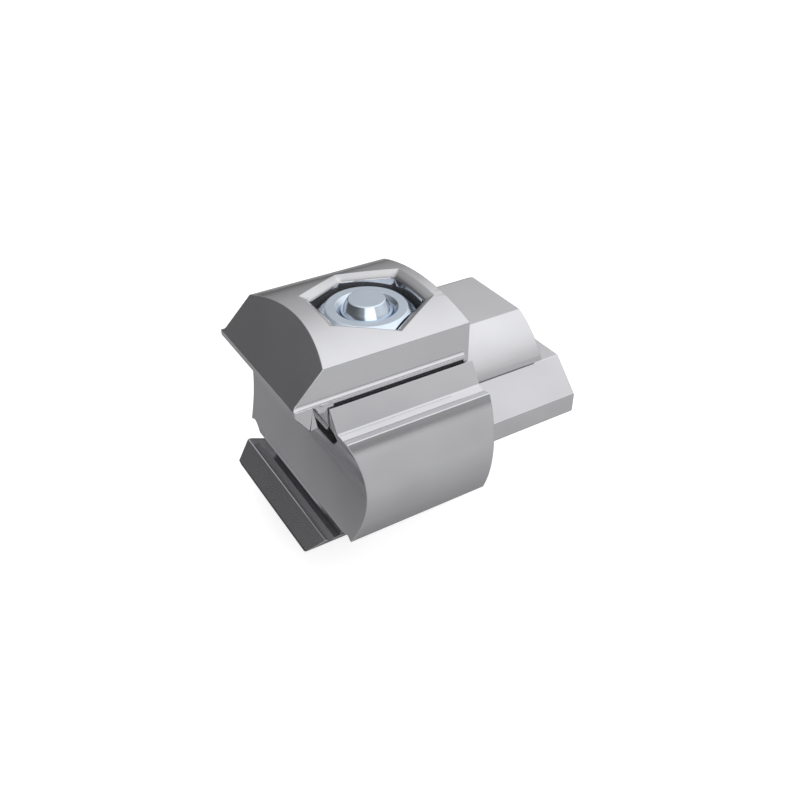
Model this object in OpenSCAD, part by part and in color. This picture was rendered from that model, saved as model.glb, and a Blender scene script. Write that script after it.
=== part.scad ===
/* [Profile section] */
// Width of the framing profile across its crowned faces
profile_w = 30; // [29.8:0.1:30.4]
// Radius of the crowned faces
crown_r = 16.7; // [16:0.1:18]
// Half the height of a crowned face
crown_half = 6.8; // [6.6:0.05:6.9]
// Width of the shallow groove beside each crowned face
groove_w = 1.95; // [1.6:0.05:2.2]
// Depth of the shallow groove
groove_d = 0.25; // [0.15:0.05:0.4]
// Distance of the corner flat's middle from both main planes
corner_m = 9.62; // [9.5:0.02:9.8]

/* [Clamp body] */
// Length of the body between its two end planes
body_len = 18; // [17.4:0.2:20]
// Half the width of the channel for the upper jaw
channel_half = 9.95; // [9.9:0.01:10.05]
// Height of the channel floor above the axis
channel_floor_z = 2.6; // [2.2:0.1:2.8]
// Size of the sloped corner of the channel
channel_slope = 2.1; // [1.8:0.1:2.2]
// Half the width of the recess for the lower jaw
recess_half = 9.8; // [9.75:0.01:9.9]
// Depth of the recess ceiling below the axis
recess_top_z = 5.7; // [5.2:0.1:5.8]
// Depth of the lower rim of the body below the axis
wall_end_z = 7.6; // [7.2:0.05:7.65]
// Thickness of the web between the seat and the recess
web_t = 2.2; // [1.8:0.1:3]
// Diameter of the screw clearance hole in the body
body_hole_d = 6.6; // [6.4:0.1:7.2]
// Half the width of the spigot
spigot_half = 12.75; // [12.4:0.05:12.9]
// Half the height of the spigot
spigot_top = 4.9; // [4.5:0.05:4.9]
// Half the height of the spigot's upright side
spigot_flank = 1.2; // [0.8:0.1:1.6]
// Length of the spigot
spigot_len = 13.6; // [11:0.2:16]

/* [Upper jaw] */
// Half the width of the block that carries the nut
block_half = 9.2; // [9:0.05:9.3]
// Radius of the arched top
arch_r = 29.4; // [26:0.2:34]
// Height of the top of the arch above the axis
jaw_top_z = 15.05; // [14.9:0.05:15.2]
// Height of the side ledge above the axis
ledge_z = 9.84; // [9.7:0.02:10]
// Side gap between the jaw leg and its channel
leg_gap = 0.17; // [0.12:0.01:0.25]
// Height of the underside of the leg above the axis
leg_z = 4.5; // [4.3:0.1:4.8]
// Size of the sloped lower corners of the leg
leg_slope = 2.34; // [2:0.02:2.5]
// How far the leg stops short of the far end plane
leg_stop = 0.7; // [0.2:0.1:0.8]
// Radius of the fillet between block and ledge
ledge_fillet = 0.5; // [0.3:0.05:0.55]
// Radius of the tongue's rounded sides
tongue_r = 11.2; // [11:0.05:11.4]
// Height of the top of the tongue above the axis
tongue_top_z = 10.1; // [9.8:0.05:10.2]
// Gap between tongue and spigot
tongue_gap = 0.6; // [0.6:0.05:0.8]
// Length of the tongue past the far end plane
tongue_len = 10.5; // [8:0.2:12]

/* [Claws] */
// Reach of both claws past the joint plane
claw_reach = 3.75; // [3.5:0.05:3.9]
// Height of the upright nose of the upper claw
nose_h = 0.7; // [0.5:0.05:0.9]
// Height of the upper claw's tip above the axis
claw_tip_z = 6.95; // [6.9:0.05:7.1]
// Height of the notch's low corner behind the upper claw
notch_z = 8.7; // [8.5:0.05:8.9]
// Depth of the lower claw's ridge below the axis
hook_z = 7.6; // [7.5:0.05:7.7]
// Height of the upright nose of the lower claw
hook_nose_h = 0.4; // [0.3:0.05:0.6]

/* [Lower jaw] */
// Depth of the jaw plate's upper face below the axis
plate_z = 8.77; // [8.6:0.05:8.9]
// Side clearance of the guide block in its recess
guide_gap = 0.2; // [0.1:0.05:0.3]
// Gap between the guide block and the recess ceiling
guide_top_gap = 0.6; // [0.6:0.05:0.8]
// Depth of the flat foot below the axis
foot_z = 14.6; // [14.5:0.05:14.9]
// Half the width of the flat foot
foot_half = 6.3; // [5.8:0.1:6.4]
// Distance from the joint plane to the front of the foot
foot_x = 6; // [5:0.2:7]
// Height of the jaw's step under the claw
step_z = 10; // [9.9:0.05:10.2]
// Distance from the joint plane to the screw axis
screw_x = 10.26; // [9.8:0.02:10.6]

/* [Screw and nut] */
// Nominal diameter of the screw
screw_d = 6; // [5.9:0.05:6.1]
// Length of the screw under its head
screw_len = 25; // [24.6:0.1:25.2]
// Diameter of the screw head
head_d = 10; // [9.6:0.1:10.2]
// Height of the screw head
head_h = 4; // [3.6:0.1:4]
// Depth of the screw head seat below the axis
head_seat_z = 10.5; // [10.3:0.1:10.5]
// Width across flats of the hexagon socket
socket_af = 4; // [3:0.5:4.5]
// Depth of the hexagon socket
socket_depth = 2.3; // [1.8:0.1:2.5]
// Height of the cone at the screw's end
point_h = 1.33; // [1:0.05:1.6]
// Diameter of the flat on the screw's end
point_d = 4.26; // [3.8:0.1:4.6]
// Diameter of the screw hole in the lower jaw
jaw_hole_d = 6.4; // [6.3:0.1:6.8]
// Radial gap between the screw head and its counterbore
head_gap = 0.3; // [0.2:0.05:0.5]
// Width across flats of the nut
nut_af = 10; // [9.8:0.05:10]
// Height of the nut
nut_h = 5; // [4.7:0.1:5.2]
// Height of the nut's upper face above the axis
nut_top_z = 13.5; // [13.3:0.1:13.6]
// Radius of the nut's chamfer circle
nut_chamfer_r = 4.675; // [4.5:0.05:4.9]
// Radius of the countersink in the nut's faces
nut_sink_r = 3.6; // [3.4:0.05:3.8]
// Radial running gap between the screw and the nut
thread_gap = 0.05; // [0.02:0.01:0.08]
// Clearance across flats of the nut in its pocket
pocket_gap = 0.2; // [0.1:0.05:0.3]
// Diameter of the screw hole below the nut
nut_hole_d = 6.6; // [6.4:0.1:7]

/* [Hidden] */

over = 1;                          // how far cutting solids overrun
bite = 0.3;                        // how far fused solids overlap
fn_round = 64;
fn_wide = 128;
crown = profile_w / 2;
crown_sag = crown_r - sqrt(crown_r * crown_r - crown_half * crown_half);
chord = crown - crown_sag;
groove_mid = chord - groove_w / 2;
ridge_x = chord - groove_w;
arch_centre_z = jaw_top_z - arch_r;
leg_half = channel_half - leg_gap;
leg_end_x = body_len - leg_stop;
tongue_end_x = body_len + tongue_len;
tongue_z = spigot_top + tongue_gap;
spigot_end_x = body_len + spigot_len;
spigot_top_half = spigot_half - (spigot_top - spigot_flank);
guide_x = web_t + guide_gap;
notch_x = -1.14;
notch_rise = 47;                   // slope of the notch's lower edge
notch_tilt = 27;                   // lean of the notch's face
end_cut_x = body_len + 0.01;
pocket_floor_z = nut_top_z - nut_h;
hex_k = 1 / cos(30);               // width across corners of a hexagon per width across flats
pocket_af = nut_af + pocket_gap;
mid_x = (spigot_end_x - claw_reach) / 2;

function turn(p, a) = [p[0] * cos(a) - p[1] * sin(a), p[0] * sin(a) + p[1] * cos(a)];

// One corner of the profile section, from one crowned face to the next
corner_line = [
  [crown + over, crown_half],
  [chord, crown_half],
  [groove_mid, crown_half - groove_d],
  [ridge_x, crown_half],
  [corner_m, corner_m],
  [crown_half, ridge_x],
  [crown_half - groove_d, groove_mid],
  [crown_half, chord],
  [crown_half, crown + over]
];

// A width and height drawing run along the length
module along_x(x0, x1) {
  translate([x0, 0, 0])
    rotate([90, 0, 90])
      linear_extrude(height = x1 - x0)
        children();
}

// A length and height drawing run across the width
module along_y(half) {
  translate([0, half, 0])
    rotate([90, 0, 0])
      linear_extrude(height = 2 * half)
        children();
}

// The mirrored outline of a symmetric drawing, given for one side
module both(pts) {
  polygon(concat(pts, [for (i = [len(pts) - 1:-1:0]) [-pts[i][0], pts[i][1]]]));
}

module crown_disc(a) {
  rotate(a)
    translate([crown - crown_r, 0])
      circle(r = crown_r, $fn = fn_wide);
}

module profile_section() {
  intersection() {
    polygon([for (q = [0:3]) for (p = corner_line) turn(p, 90 * q)]);
    crown_disc(0);
    crown_disc(90);
    crown_disc(180);
    crown_disc(270);
  }
}

// The round space that the crossing profile's crowned face fills
module crossing_crown() {
  translate([crown_sag - crown_r, profile_w, 0])
    rotate([90, 0, 0])
      cylinder(r = crown_r, h = 2 * profile_w, $fn = fn_wide);
}

module upright_hole(d, z0, z1) {
  translate([screw_x, 0, z0])
    cylinder(d = d, h = z1 - z0, $fn = fn_round);
}

// A hexagon with flats towards both ends of the part
module hex_prism(af, h) {
  rotate([0, 0, 30])
    cylinder(d = af * hex_k, h = h, $fn = 6);
}

module clamp_body() {
  color("lightgray")
    difference() {
      union() {
        difference() {
          along_x(0, body_len)
            profile_section();
          crossing_crown();
        }
        along_x(body_len - bite, spigot_end_x)
          both([
            [spigot_top_half, -spigot_top],
            [spigot_half, -spigot_flank],
            [spigot_half, spigot_flank],
            [spigot_top_half, spigot_top]
          ]);
      }
      along_x(-over, end_cut_x)
        both([
          [channel_half - channel_slope, channel_floor_z],
          [channel_half, channel_floor_z + channel_slope],
          [channel_half, crown + over]
        ]);
      along_x(-over, body_len + bite)
        both([[crown + over, -crown - over], [crown + over, -wall_end_z]]);
      along_x(web_t, end_cut_x)
        both([[recess_half, -crown], [recess_half, -recess_top_z]]);
      upright_hole(body_hole_d, -crown, crown);
    }
}

// The two concave fillets between the jaw block and its ledges
module ledge_fillets() {
  for (side = [-1, 1])
    scale([side, 1])
      translate([block_half, ledge_z])
        difference() {
          translate([-bite, -bite])
            square(ledge_fillet + bite);
          translate([ledge_fillet, ledge_fillet])
            circle(r = ledge_fillet, $fn = 24);
        }
}

module jaw_block() {
  intersection() {
    union() {
      along_x(-claw_reach, body_len)
        intersection() {
          translate([0, arch_centre_z])
            circle(r = arch_r, $fn = fn_wide);
          translate([-block_half, ledge_z - bite])
            square([2 * block_half, crown]);
        }
      along_x(-claw_reach, leg_end_x)
        ledge_fillets();
    }
    along_y(crown)
      polygon([
        [-claw_reach, 0],
        [-claw_reach, ledge_z],
        [-claw_reach + crown, ledge_z + crown],
        [body_len, ledge_z + crown],
        [body_len, 0]
      ]);
  }
}

module claw() {
  along_y(leg_half)
    polygon([
      [-claw_reach, ledge_z],
      [-claw_reach, ledge_z - nose_h],
      [-claw_reach + 1.6, claw_tip_z],
      [-claw_reach + 2.52, claw_tip_z + 0.15],
      [-claw_reach + 2.04, ledge_z]
    ]);
}

// The sloped notch in each side of the leg, behind the claw
module leg_notches() {
  for (side = [0, 1])
    mirror([0, side, 0])
      translate([notch_x, leg_half, notch_z])
        rotate([0, -notch_rise, 0])
          rotate([notch_tilt, 0, 0])
            translate([-over, 0, 0])
              cube([2 * over, over, 2 * over]);
}

// The leg in the channel, its front cut round by the crossing profile
module leg() {
  difference() {
    union() {
      along_x(-claw_reach + 2, leg_end_x)
        both([
          [leg_half - leg_slope, leg_z],
          [leg_half, leg_z + leg_slope],
          [leg_half, ledge_z]
        ]);
      along_x(leg_end_x - bite, body_len)
        both([
          [block_half - leg_slope, leg_z],
          [block_half, leg_z + leg_slope],
          [block_half, ledge_z]
        ]);
    }
    crossing_crown();
    leg_notches();
  }
}

// The tongue that follows the spigot into the inserted profile
module tongue() {
  along_x(leg_end_x - bite, tongue_end_x)
    intersection() {
      circle(r = tongue_r, $fn = fn_wide);
      translate([-crown, tongue_z])
        square([profile_w, tongue_top_z - tongue_z]);
    }
}

module upper_jaw() {
  color("gainsboro")
    difference() {
      union() {
        jaw_block();
        claw();
        leg();
        tongue();
      }
      translate([screw_x, 0, pocket_floor_z])
        hex_prism(pocket_af, crown);
      upright_hole(nut_hole_d, 0, crown);
    }
}

// Side view of the lower jaw, from the claw over the plate to the foot
module lower_side() {
  polygon([
    [-claw_reach, -step_z],
    [-claw_reach, hook_nose_h - step_z],
    [-claw_reach + 2, -hook_z - 0.16],
    [-claw_reach + 2.57, -hook_z],
    [0.09, -hook_z - 0.6],
    [guide_x, -plate_z],
    [body_len, -plate_z],
    [body_len, -foot_z],
    [foot_x, -foot_z],
    [0.5, -step_z]
  ]);
}

module lower_jaw() {
  color("lightgray")
    difference() {
      union() {
        intersection() {
          along_x(-claw_reach, body_len)
            profile_section();
          along_y(crown)
            lower_side();
        }
        along_x(guide_x, leg_end_x)
          both([
            [recess_half - guide_gap, -plate_z - bite],
            [recess_half - guide_gap, -recess_top_z - guide_top_gap]
          ]);
        along_x(foot_x, body_len)
          both([
            [foot_half, -foot_z],
            [crown_half - 0.1, -foot_z + crown_half - 0.1 - foot_half],
            [crown_half - 0.1, -chord + over]
          ]);
      }
      upright_hole(jaw_hole_d, -crown - over, crown);
      upright_hole(head_d + 2 * head_gap, -crown - over, -head_seat_z);
    }
}

module hex_nut() {
  sink_h = nut_sink_r - screw_d / 2 - thread_gap;
  chamfer_spread = nut_h * tan(60);
  color("lightsteelblue")
    translate([screw_x, 0, pocket_floor_z])
      difference() {
        intersection() {
          hex_prism(nut_af, nut_h);
          cylinder(r1 = nut_chamfer_r + chamfer_spread, r2 = nut_chamfer_r, h = nut_h, $fn = fn_round);
        }
        translate([0, 0, -over])
          cylinder(d = screw_d + 2 * thread_gap, h = nut_h + 2 * over, $fn = fn_round);
        translate([0, 0, nut_h - sink_h])
          cylinder(r1 = nut_sink_r - sink_h, r2 = nut_sink_r + over, h = sink_h + over, $fn = fn_round);
      }
}

module clamp_screw() {
  color("lightsteelblue")
    translate([screw_x, 0, -head_seat_z])
      difference() {
        rotate_extrude($fn = fn_round)
          polygon([
            [0, -head_h],
            [head_d / 2 - 0.4, -head_h],
            [head_d / 2, 0.4 - head_h],
            [head_d / 2, 0],
            [screw_d / 2, 0],
            [screw_d / 2, screw_len - point_h],
            [point_d / 2, screw_len],
            [0, screw_len]
          ]);
        translate([0, 0, -head_h - over])
          hex_prism(socket_af, socket_depth + over);
      }
}

// Stands the assembly on its foot, centred on its length
module placed() {
  translate([-mid_x, 0, foot_z])
    children();
}

placed() clamp_body();
placed() upper_jaw();
placed() lower_jaw();
placed() hex_nut();
placed() clamp_screw();
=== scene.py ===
import math

import bmesh
import bpy
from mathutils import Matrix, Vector


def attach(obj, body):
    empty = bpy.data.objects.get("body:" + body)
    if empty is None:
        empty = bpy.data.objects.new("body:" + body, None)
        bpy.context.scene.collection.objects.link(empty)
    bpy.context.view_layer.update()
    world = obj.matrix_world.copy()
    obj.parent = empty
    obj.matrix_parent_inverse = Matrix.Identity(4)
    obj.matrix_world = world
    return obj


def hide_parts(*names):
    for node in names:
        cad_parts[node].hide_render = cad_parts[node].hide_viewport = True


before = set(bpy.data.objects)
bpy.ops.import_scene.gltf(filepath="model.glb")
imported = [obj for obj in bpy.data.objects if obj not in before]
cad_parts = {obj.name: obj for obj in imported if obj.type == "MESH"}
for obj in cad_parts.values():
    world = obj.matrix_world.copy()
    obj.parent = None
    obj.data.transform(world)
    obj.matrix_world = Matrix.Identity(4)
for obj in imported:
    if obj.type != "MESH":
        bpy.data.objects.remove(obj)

mm = 0.001
scene = bpy.context.scene
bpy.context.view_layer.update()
print("frame loaded:", sorted(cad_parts))


def middleX(node):
    # halfway between the two ends of a CAD node along X
    places = [v.co.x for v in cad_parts[node].data.vertices]
    return (min(places) + max(places)) / 2


screwX = middleX("hex_nut")    # the screw's axis, which the nut is centred on
halfway = 0.5                  # the middle of a ramp, and the level that a noise varies round


def operators(operation):
    # a Math node behind a Python operator, and its reflected form, so that 1 - wire works too
    def plain(wire, other):
        return wire.sheet.maths(operation, wire, other)

    def reflected(wire, other):
        return wire.sheet.maths(operation, other, wire)

    return plain, reflected


class Wire:
    # one output socket, with the arithmetic written as Python
    __add__, __radd__ = operators("ADD")
    __sub__, __rsub__ = operators("SUBTRACT")
    __mul__, __rmul__ = operators("MULTIPLY")
    __truediv__, __rtruediv__ = operators("DIVIDE")
    __pow__, __rpow__ = operators("POWER")

    def __init__(self, sheet, socket):
        self.sheet = sheet
        self.socket = socket

    def out(self, name):
        # another output of the same node
        return Wire(self.sheet, self.socket.node.outputs[name])


class Sheet:
    # the node sheet of one material, or of the sky
    def __init__(self, owner):
        owner.use_nodes = True
        self.nodes = owner.node_tree.nodes
        self.links = owner.node_tree.links
        self.nodes.clear()

    def node(self, kind, settings=None, values=None, out=0):
        made = self.nodes.new(kind)
        for key, value in (settings or {}).items():
            if key == "stops":
                self.setStops(made.color_ramp, value)
            else:
                setattr(made, key, value)
        for key, value in (values or {}).items():
            socket = made.inputs[key]
            if isinstance(value, Wire):
                self.links.new(value.socket, socket)
            elif socket.type == "RGBA":
                socket.default_value = (*value, 1)
            else:
                socket.default_value = value
        return Wire(self, made.outputs[out]) if made.outputs else None

    def setStops(self, ramp, stops):
        while len(ramp.elements) < len(stops):
            ramp.elements.new(halfway)
        for stop, (place, grey) in zip(ramp.elements, stops):
            stop.position = place
            stop.color = (grey, grey, grey, 1)

    def maths(self, operation, *values):
        return self.node("ShaderNodeMath", {"operation": operation}, dict(enumerate(values)))

    def place(self, centre=(0, 0, 0)):
        # object coordinates, moved so that centre is the origin
        at = self.node("ShaderNodeTexCoord", out="Object")
        return self.node("ShaderNodeMapping", values={"Vector": at, "Location": [-c for c in centre]})

    def split(self, vector):
        parts = self.node("ShaderNodeSeparateXYZ", values={"Vector": vector})
        return [parts.out(axis) for axis in "XYZ"]

    def noise(self, at, size, detail):
        return self.node("ShaderNodeTexNoise", values={"Vector": at, "Scale": 1 / size, "Detail": detail})

    def ramp(self, value, stops):
        return self.node("ShaderNodeValToRGB", {"stops": stops}, {"Fac": value})

    def blend(self, amount, first, second):
        # a Mix node keeps its colours on inputs 6 and 7 and on output 2
        return self.node("ShaderNodeMix", {"data_type": "RGBA"}, {0: amount, 6: first, 7: second}, out=2)

    def bump(self, height, depth, under=None):
        values = {"Height": height, "Strength": 1, "Distance": depth}
        if under is not None:
            values["Normal"] = under
        return self.node("ShaderNodeBump", values=values)

    def surface(self, values):
        return self.node("ShaderNodeBsdfPrincipled", values=values)

    def byRay(self, seen, met):
        # the camera sees one shader, and light and reflections meet the other
        ray = self.node("ShaderNodeLightPath", out="Is Camera Ray")
        return self.node("ShaderNodeMixShader", values={0: ray, 1: met, 2: seen})

    def finish(self, shader, kind="ShaderNodeOutputMaterial"):
        self.node(kind, values={"Surface": shader})


print("shader helpers ready")

castLook = {
    "tone": (0.60, 0.60, 0.62),
    "shade": (0.54, 0.54, 0.565),
    "cloudSize": 6 * mm,
    "cloudStart": 0.35, "cloudGain": 1.6,     # where tone starts to turn to shade, and how fast
    "metal": 0.85,
    "rough": 0.08, "roughSpread": 0.03,
    "grainSize": 0.60 * mm, "grainShare": 0.7,
    "peelSize": 3 * mm, "peelShare": 0.5,     # the slow waves under the grain
    "grainDepth": 0.0003 * mm,
}


def castMetal(name, look):
    metal = bpy.data.materials.new(name)
    sheet = Sheet(metal)
    at = sheet.place()
    cloud = sheet.noise(at, look["cloudSize"], detail=2)
    grain = sheet.noise(at, look["grainSize"], detail=1)
    peel = sheet.noise(at, look["peelSize"], detail=1)
    shading = (cloud - look["cloudStart"]) * look["cloudGain"]
    height = grain * look["grainShare"] + peel * look["peelShare"]
    sheet.finish(sheet.surface({
        "Base Color": sheet.blend(shading, look["tone"], look["shade"]),
        "Metallic": look["metal"],
        "Roughness": look["rough"] + (grain + cloud - 2 * halfway) * look["roughSpread"],
        "Normal": sheet.bump(height, look["grainDepth"]),
    }))
    return metal


platedLook = {
    "axis": (screwX, 0, 0),
    "tone": (0.60, 0.68, 0.78),
    "tint": (0.66, 0.72, 0.79),
    "cloudSize": 3 * mm,
    "cloudStart": 0.42, "cloudGain": 2.2,
    "metal": 0.95,
    "rough": 0.15, "grainRough": 0.14, "cloudRough": 0.10,
    "grainSize": 0.25 * mm,
    # fine turning rings, a little uneven
    "ringPitch": 0.16 * mm, "ringShare": 0.5, "ringDepth": 0.0006 * mm,
    "wobbleSize": 0.8 * mm, "wobble": 0.05 * mm,
    # the thread, on the shank alone
    "pitch": 1.0 * mm, "threadDepth": 0.30 * mm,
    "shank": 3.02 * mm, "shankLow": 4.1 * mm, "shankHigh": 27.5 * mm,
}


def platedSteel(name, look):
    steel = bpy.data.materials.new(name)
    sheet = Sheet(steel)
    at = sheet.place(look["axis"])
    x, y, z = sheet.split(at)
    radius = (x * x + y * y) ** 0.5
    wobble = sheet.noise(at, look["wobbleSize"], detail=2) * look["wobble"]
    ring = sheet.maths("SINE", (radius + wobble + z) * (2 * math.pi / look["ringPitch"]))
    cloud = sheet.noise(at, look["cloudSize"], detail=3)
    grain = sheet.noise(at, look["grainSize"], detail=2)
    tinting = (cloud - look["cloudStart"]) * look["cloudGain"]
    # the thread is a ridge that winds round the shank, up over half a turn and down over the other
    around = sheet.maths("ARCTAN2", y, x) / (2 * math.pi)
    ridge = sheet.maths("PINGPONG", z / look["pitch"] - around, 0.5) * 2
    shank = (sheet.maths("LESS_THAN", radius, look["shank"])
             * sheet.maths("GREATER_THAN", z, look["shankLow"])
             * sheet.maths("LESS_THAN", z, look["shankHigh"]))
    thread = sheet.bump(ridge * shank, look["threadDepth"])
    sheet.finish(sheet.surface({
        "Base Color": sheet.blend(tinting, look["tone"], look["tint"]),
        "Metallic": look["metal"],
        "Roughness": (look["rough"] + (grain - halfway) * look["grainRough"]
                      + (cloud - halfway) * look["cloudRough"]),
        "Normal": sheet.bump(ring * look["ringShare"] + grain, look["ringDepth"], thread),
    }))
    return steel


bodyFinish = castMetal("castBody", castLook)
jawFinish = castMetal("castJaw", {**castLook, "tone": (0.61, 0.61, 0.63), "shade": (0.56, 0.56, 0.585)})
steelFinish = platedSteel("platedSteel", platedLook)
print("finishes ready")

meshLook = {
    "weld": 0.002 * mm,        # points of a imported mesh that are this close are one
    "flatTurn": 0.4,           # degrees: faces that turn less than this are one flat
    "sharpTurn": 28,           # degrees: folds that turn more than this shade as a sharp line
    "cut": 0.004 * mm,         # a cut uses a point that is this close
    "bevelSteps": 2,
}
near = 0.03 * mm               # a point this close to a wall, an arch or a line lies on it
facing = 0.9                   # how squarely a face has to look along an axis


def fromCad(node):
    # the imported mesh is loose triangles, so a copy is merged, then flat areas are joined
    bm = bmesh.new()
    bm.from_mesh(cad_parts[node].data)
    bmesh.ops.remove_doubles(bm, verts=bm.verts, dist=meshLook["weld"])
    flatTurn = math.radians(meshLook["flatTurn"])
    bmesh.ops.dissolve_limit(bm, angle_limit=flatTurn, verts=bm.verts, edges=bm.edges)
    return bm


def markEdges(bm, look, leave=None):
    # the edges that softenEdges rounds carry a weight, apart from those that leave() picks
    weight = bm.edges.layers.float.new("bevel_weight_edge")
    bm.normal_update()
    for edge in bm.edges:
        if len(edge.link_faces) == 2 and not (leave and leave(edge)):
            if edge.calc_face_angle() > math.radians(look["angle"]):
                edge[weight] = 1.0
    return bm


def softenEdges(piece, look):
    bevel = piece.modifiers.new("edges", "BEVEL")
    bevel.width = look["edge"]
    bevel.segments = meshLook["bevelSteps"]
    bevel.limit_method = "WEIGHT"
    bevel.use_clamp_overlap = False
    bevel.miter_outer = "MITER_ARC"
    weigh = piece.modifiers.new("normals", "WEIGHTED_NORMAL")
    weigh.keep_sharp = True


def asPiece(name, bm, look, finish, body, slot, *nodes):
    mesh = bpy.data.meshes.new(name)
    bm.to_mesh(mesh)
    bm.free()
    for face in mesh.polygons:
        face.use_smooth = True
    mesh.set_sharp_from_angle(angle=math.radians(meshLook["sharpTurn"]))
    mesh.materials.append(finish)
    piece = bpy.data.objects.new(name, mesh)
    scene.collection.objects.link(piece)
    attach(piece, body)
    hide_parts(*nodes)
    softenEdges(piece, look)
    print("piece", name, len(mesh.polygons), "faces")
    return piece


# "edge" is how wide an edge is rounded, and "angle" the turn in degrees from which it is
bodyLook = {"edge": 0.10 * mm, "angle": 26}
asPiece("clampBody", markEdges(fromCad("clamp_body"), bodyLook), bodyLook,
        bodyFinish, "body", "cast_body", "clamp_body")

upperLook = {
    "edge": 0.06 * mm, "angle": 24,
    "sides": 6,
    "floor": 23.1 * mm,        # pocket floor
    "flat": 5.1 * mm,          # middle of the pocket to its walls in the CAD
    "wall": 5.56 * mm,         # and as shown
    "archRadius": 29.4 * mm, "archZ": 0.25 * mm,
    "strip": 0.35 * mm,        # the arch is cut into strips this wide
    "strips": 24,              # so many on either side of its middle
    "boxX": 6.8 * mm, "boxY": 7.7 * mm,       # the rings round the pocket end at this box
    # the rolled rim in mm: distance from the middle of the pocket, depth under the arch
    "rim": [(5.56, 0.90), (5.64, 0.74), (5.76, 0.60), (5.98, 0.40),
            (6.22, 0.23), (6.38, 0.13), (6.50, 0.04), (6.60, 0)],
    "rimNear": 0.012 * mm,     # a point this close to the rim's outer line lies on it
    "weld": 0.008 * mm,
    "topZ": 27.1 * mm,         # above this, faces that turn less than topTurn degrees are joined
    "topTurn": 0.3,
    # the hollow in each side of the leg, under the lip that runs along the wall
    "hollow": {"x": (-13.2 * mm, 3.0 * mm), "z": (21.6 * mm, 24.06 * mm),
               "side": 9.78 * mm, "depth": 0.5 * mm},
}
hexTurns = [2 * math.pi * k / upperLook["sides"] for k in range(upperLook["sides"])]
hexWays = [Vector((math.cos(turn), math.sin(turn), 0)) for turn in hexTurns]


def pocketReach(co):
    return max((co.x - screwX) * way.x + co.y * way.y for way in hexWays)


def archHeight(y, look):
    return look["archZ"] + math.sqrt(look["archRadius"] ** 2 - y * y)


def onArch(v, look):
    return abs(v.co.z - archHeight(v.co.y, look)) < near


def rimDrop(reach, look):
    rim = [(out * mm, depth * mm) for out, depth in look["rim"]]
    for (out0, depth0), (out1, depth1) in zip(rim, rim[1:]):
        if reach < out1:
            return depth0 + (depth1 - depth0) * max(0, (reach - out0) / (out1 - out0))
    return 0


# each point or edge once and in a fixed order, so that every run gives the same mesh
def pointsOf(faces):
    return list(dict.fromkeys(v for f in faces for v in f.verts))


def edgesOf(faces):
    return list(dict.fromkeys(e for f in faces for e in f.edges))


def cutFaces(bm, faces, cuts):
    for point, way in cuts:
        got = bmesh.ops.bisect_plane(bm, geom=[*faces, *edgesOf(faces), *pointsOf(faces)],
                                     dist=meshLook["cut"], plane_co=point, plane_no=way)
        faces = [g for g in got["geom"] if isinstance(g, bmesh.types.BMFace)]
    return faces


def widenPocket(bm, look):
    # moves the walls outwards, and their upper corners along the arch
    grow = look["wall"] / look["flat"]
    for v in bm.verts:
        if v.co.z > look["floor"] - near and abs(pocketReach(v.co) - look["flat"]) < near:
            arched = onArch(v, look)
            v.co.x = screwX + (v.co.x - screwX) * grow
            v.co.y *= grow
            if arched:
                v.co.z = archHeight(v.co.y, look)


def cutArch(bm, look):
    # strips along the whole arch, then rings round the pocket as far as the box
    arch = [f for f in bm.faces if f.normal.z > facing and all(onArch(v, look) for v in f.verts)]
    arch = bmesh.ops.triangulate(bm, faces=arch)["faces"]
    lines = [((0, k * look["strip"], 0), (0, 1, 0)) for k in range(-look["strips"], look["strips"] + 1)]
    lines += [((screwX + side * look["boxX"], 0, 0), (1, 0, 0)) for side in (-1, 1)]
    arch = cutFaces(bm, arch, lines)
    boxed = {f for f in arch if all(abs(v.co.x - screwX) < look["boxX"] + near
                                    and abs(v.co.y) < look["boxY"] + near for v in f.verts)}
    middle = Vector((screwX, 0, 0))
    rings = [(middle + way * out * mm, way) for way in hexWays for out, depth in look["rim"][1:]]
    return [f for f in arch if f not in boxed] + cutFaces(bm, [f for f in arch if f in boxed], rings)


def shapeTop(bm, look):
    # the arch is cut fine enough to carry the rolled rim
    widenPocket(bm, look)
    arch = cutArch(bm, look)
    points = pointsOf(arch)
    for v in points:
        v.co.z = archHeight(v.co.y, look) - rimDrop(pocketReach(v.co), look)
    bmesh.ops.remove_doubles(bm, verts=points, dist=look["weld"])
    top = [f for f in bm.faces if f.calc_center_median().z > look["topZ"]]
    topTurn = math.radians(look["topTurn"])
    bmesh.ops.dissolve_limit(bm, angle_limit=topTurn, verts=pointsOf(top), edges=edgesOf(top))
    # points left between two strips at the ends of the arch would bend its shading
    spare = [v for v in points if v.is_valid and len(v.link_edges) == 2
             and abs(v.co.x - screwX) > look["boxX"]]
    bmesh.ops.dissolve_verts(bm, verts=spare)
    print("arch cut into", len(arch), "faces,", len(spare), "spare points dropped")


def crispRim(mesh, look):
    # a sharp outer line keeps the slope of the rim out of the normals of the arch
    outer = look["rim"][-1][0] * mm
    onLine = [abs(pocketReach(v.co) - outer) < look["rimNear"] and onArch(v, look)
              for v in mesh.vertices]
    for edge in mesh.edges:
        if all(onLine[k] for k in edge.vertices):
            edge.use_edge_sharp = True


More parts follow.
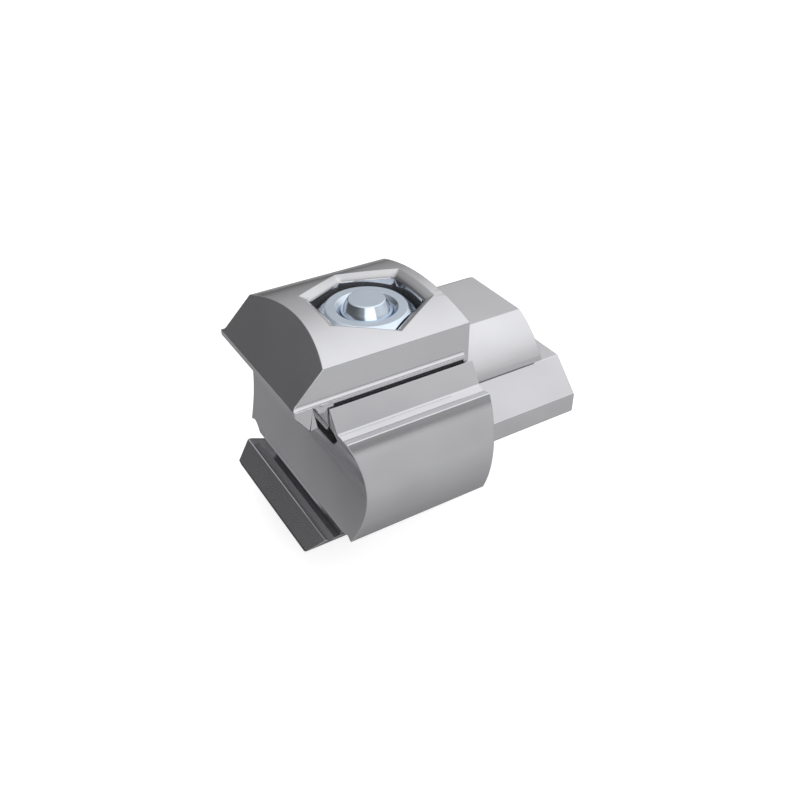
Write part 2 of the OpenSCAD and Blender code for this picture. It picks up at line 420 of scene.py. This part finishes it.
def hollowLeg(bm, look):
    (x0, x1), (z0, z1) = look["x"], look["z"]
    cuts = [((x, 0, 0), (1, 0, 0)) for x in (x0, x1)] + [((0, 0, z), (0, 0, 1)) for z in (z0, z1)]
    sides = [f for f in bm.faces if abs(f.normal.y) > facing
             and all(abs(abs(v.co.y) - look["side"]) < near for v in f.verts)]
    boxed = [f for f in cutFaces(bm, sides, cuts)
             if x0 < f.calc_center_median().x < x1 and z0 < f.calc_center_median().z < z1]
    for way in (-1, 1):
        inner = [f for f in boxed if f.is_valid and f.normal.y * way > 0]
        got = bmesh.ops.extrude_face_region(bm, geom=inner)["geom"]
        moved = [g for g in got if isinstance(g, bmesh.types.BMVert)]
        bmesh.ops.delete(bm, geom=inner, context="FACES")
        bmesh.ops.translate(bm, verts=moved, vec=(0, -way * look["depth"], 0))
        print("leg side hollowed:", len(inner), "faces")


def atPocket(edge):
    return all(pocketReach(v.co) < upperLook["flat"] + near for v in edge.verts)


upperMesh = fromCad("upper_jaw")
hollowLeg(upperMesh, upperLook["hollow"])
markEdges(upperMesh, upperLook, leave=atPocket)
shapeTop(upperMesh, upperLook)
upperJaw = asPiece("upperJaw", upperMesh, upperLook, jawFinish, "upper", "cast_jaw", "upper_jaw")
crispRim(upperJaw.data, upperLook)

lowerLook = {
    "edge": 0.08 * mm, "angle": 24,
    # the crest of the claw falls straight back towards the seat
    "crestX": -15.105 * mm, "crestZ": 7.0 * mm, "fall": 0.38 * mm,
}


def sharpenCrest(bm, look):
    crest = [v for v in bm.verts
             if abs(v.co.x - look["crestX"]) < near and abs(v.co.z - look["crestZ"]) < near]
    bmesh.ops.translate(bm, verts=crest, vec=(0, 0, -look["fall"]))
    print("crest points lowered:", len(crest))
    return bm


asPiece("lowerJaw", markEdges(sharpenCrest(fromCad("lower_jaw"), lowerLook), lowerLook), lowerLook,
        jawFinish, "lower", "cast_jaw", "lower_jaw")

nutLook = {"edge": 0.05 * mm, "angle": 24}
asPiece("hexNut", markEdges(fromCad("hex_nut"), nutLook), nutLook,
        steelFinish, "upper", "plated_steel", "hex_nut")

screwLook = {"edge": 0.10 * mm, "angle": 24}
asPiece("clampScrew", markEdges(fromCad("clamp_screw"), screwLook), screwLook,
        steelFinish, "screw", "plated_steel", "clamp_screw")

floorLook = {
    "size": 1.2,
    "tone": (0.55, 0.55, 0.55), "rough": 0.9,
    "lift": 0.78,              # own light, so that the pale floor reads as a studio sweep
    # painted light: the floor that the metal reflects and takes bounced light from is painted lighter in
    # front of the part than behind it, a painted pool of light; these stops give its paleness from in
    # front of the part to behind it
    "bounce": [(0.0, 0.76), (0.43, 0.76), (0.50, 0.42), (1.0, 0.42)],
    "bounceSpan": 0.5,
}


def makeFloor(look):
    bm = bmesh.new()
    bmesh.ops.create_grid(bm, x_segments=1, y_segments=1, size=look["size"] / 2)
    mesh = bpy.data.meshes.new("floor")
    bm.to_mesh(mesh)
    bm.free()
    floor = bpy.data.objects.new("floor", mesh)
    scene.collection.objects.link(floor)
    paint = bpy.data.materials.new("paleFloor")
    sheet = Sheet(paint)
    seen = sheet.surface({
        "Base Color": look["tone"], "Roughness": look["rough"], "Specular IOR Level": 0,
        "Emission Color": (1, 1, 1), "Emission Strength": look["lift"],
    })
    y = sheet.split(sheet.place())[1]
    # painted pool of light on the floor, lighter in front of the part than behind it, seen only in
    # reflections and bounced light
    paintedLightPool = sheet.ramp(y / look["bounceSpan"] + halfway, look["bounce"])
    bounced = sheet.surface({"Base Color": paintedLightPool, "Roughness": 1, "Specular IOR Level": 0})
    sheet.finish(sheet.byRay(seen, bounced))
    mesh.materials.append(paint)


makeFloor(floorLook)

skyLook = {
    "towards": (0.45, -0.05, 0.89),           # where the sky is brightest
    # how bright it is, from the opposite way round to there
    "stops": [(0.0, 0.08), (0.50, 0.10), (0.56, 0.14), (0.60, 0.30),
              (0.79, 0.64), (0.90, 1.10), (1.0, 1.38)],
    "seen": (1, 1, 1),                        # the plain backdrop in the picture
}


def makeSky(look):
    scene.world = bpy.data.worlds.new("studio")
    sheet = Sheet(scene.world)
    at = sheet.node("ShaderNodeTexCoord", out="Generated")
    towards = Vector(look["towards"]).normalized()
    height = sheet.node("ShaderNodeVectorMath", {"operation": "DOT_PRODUCT"},
                        {0: at, 1: towards}, out="Value")
    light = sheet.ramp((height + 1) / 2, look["stops"])
    glow = sheet.node("ShaderNodeBackground", values={"Color": light})
    seen = sheet.node("ShaderNodeBackground", values={"Color": look["seen"]})
    sheet.finish(sheet.byRay(seen, glow), kind="ShaderNodeOutputWorld")


makeSky(skyLook)

keyLook = {
    "place": (-0.07, -0.33, 0.20),
    "aim": (0, 0, 0.015),
    "size": (0.32, 0.24),
    "power": 0.29,
}


def makeSoftbox(name, look):
    light = bpy.data.lights.new(name, "AREA")
    light.shape = "RECTANGLE"
    light.size, light.size_y = look["size"]
    light.energy = look["power"]
    lamp = bpy.data.objects.new(name, light)
    scene.collection.objects.link(lamp)
    lamp.location = look["place"]
    lamp.rotation_mode = "QUATERNION"
    lamp.rotation_quaternion = (Vector(look["aim"]) - Vector(look["place"])).to_track_quat("-Z", "Y")


makeSoftbox("keyLight", keyLook)

cameraLook = {
    "place": (-0.045605, -0.07586, 0.07634),
    "turn": (54.736, 0, -31.42),
    "lens": 39.375, "sensor": 36,             # mm, as on a lens
    "clip": 1 * mm,
}


def makeCamera(look):
    lens = bpy.data.cameras.new("camera")
    lens.lens = look["lens"]
    lens.sensor_width = look["sensor"]
    lens.clip_start = look["clip"]
    camera = bpy.data.objects.new("camera", lens)
    camera.location = look["place"]
    camera.rotation_euler = [math.radians(turn) for turn in look["turn"]]
    scene.collection.objects.link(camera)
    scene.camera = camera


makeCamera(cameraLook)
scene.view_settings.view_transform = "Standard"
print("floor, light and camera ready")

bpy.context.view_layer.update()
